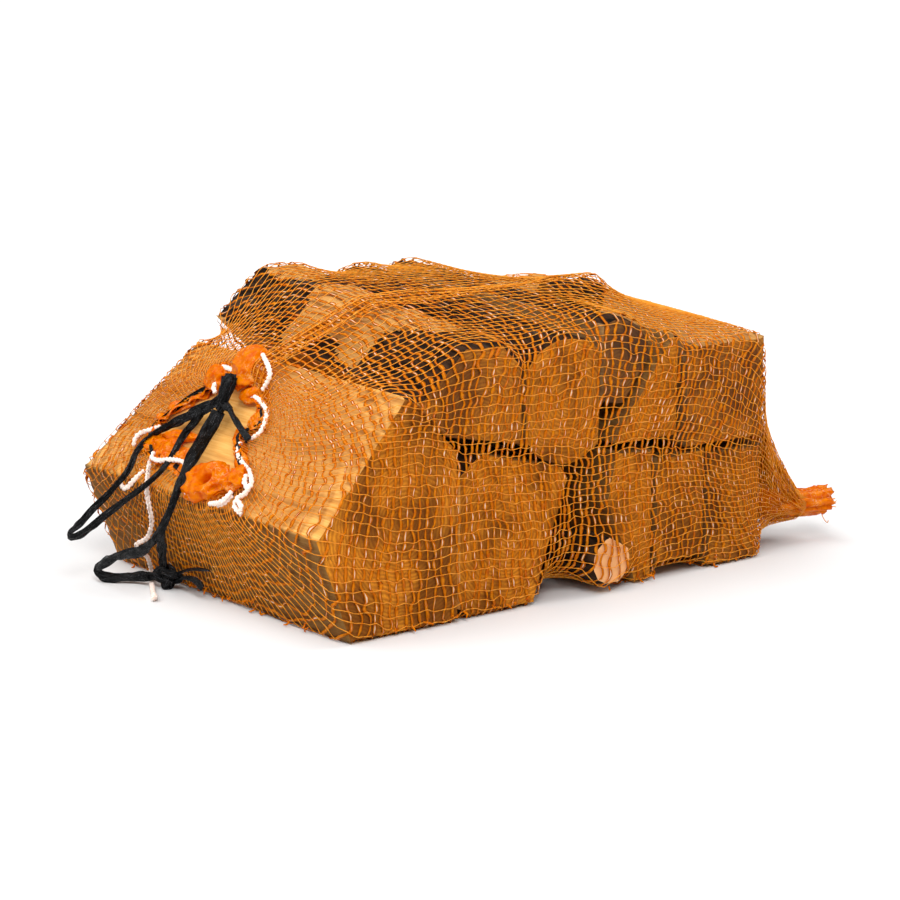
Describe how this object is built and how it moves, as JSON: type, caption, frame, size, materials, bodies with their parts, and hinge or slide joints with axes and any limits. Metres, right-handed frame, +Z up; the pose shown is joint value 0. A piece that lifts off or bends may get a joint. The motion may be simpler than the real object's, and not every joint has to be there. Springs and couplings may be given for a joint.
{
  "type": "net sack of firewood",
  "caption": "Orange knitted net sack packed tight with split firewood, lying on its side, its mouth drawn shut by a black raffia drawstring and its sewn end gathered into a tail.",
  "frame": {"origin": "on the floor, under the middle of the sack's box, without its strings", "axes": "+X along the sack from the mouth to the tail, +Y along the logs to the back, +Z up"},
  "size_m": [0.492, 0.275, 0.1958],
  "materials": {
    "orange_net": "knitted orange plastic tape and yarn, half see-through, with a soft gloss",
    "black_raffia": "crumpled black plastic film string with a soft gloss",
    "white_yarn": "white looped edging yarn",
    "split_wood": "raw split and sawn wood with grain, rings and cracks",
    "log_bark": "rough dark bark"
  },
  "bodies": {
    "root": {"filled_net": "orange_net", "drawstring_bunch": "black_raffia", "drawstring_loop": "black_raffia", "drawstring_leg": "black_raffia", "drawstring_bow": "black_raffia", "drawstring_turn": "black_raffia", "drawstring_knot": "black_raffia", "drawstring_end_1": "black_raffia", "drawstring_end_2": "black_raffia", "edging_yarn": "white_yarn"}
  },
  "joints": []
}
